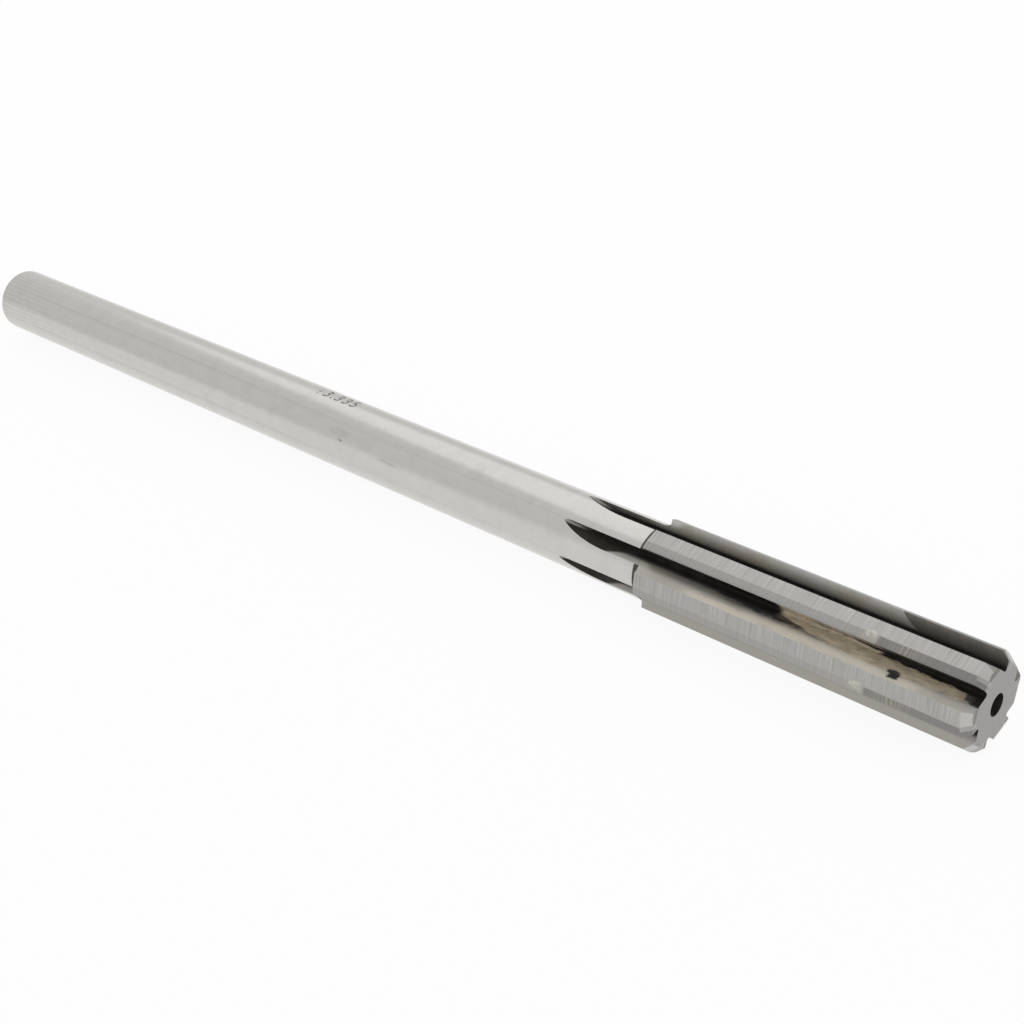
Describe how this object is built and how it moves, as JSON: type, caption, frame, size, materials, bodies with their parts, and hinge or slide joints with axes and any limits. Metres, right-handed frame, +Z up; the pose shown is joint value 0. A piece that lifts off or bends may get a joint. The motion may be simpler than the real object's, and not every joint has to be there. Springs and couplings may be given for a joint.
{
  "type": "machine reamer",
  "caption": "Straight-shank, straight-flute machine reamer with carbide tips brazed to the cutting end, for sizing a drilled hole.",
  "frame": {"origin": "on the tool axis at the shank end face, at the mouth of the shank's centre hole", "axes": "+X along the tool axis towards the cutting end, +Z up with the tool lying on its side as it rests"},
  "size_m": [0.2032, 0.0132, 0.0126],
  "materials": {
    "steel": "fine ground steel, blackened in the flutes",
    "carbide": "ground tungsten carbide, dark grey",
    "braze": "silver braze, ground flush"
  },
  "bodies": {
    "root": {"reamer_body": "steel", "carbide_tip_1": "carbide", "carbide_tip_2": "carbide", "carbide_tip_3": "carbide", "carbide_tip_4": "carbide", "carbide_tip_5": "carbide", "carbide_tip_6": "carbide", "braze_seam_1": "braze", "braze_seam_2": "braze", "braze_seam_3": "braze", "braze_seam_4": "braze", "braze_seam_5": "braze", "braze_seam_6": "braze"}
  },
  "joints": []
}
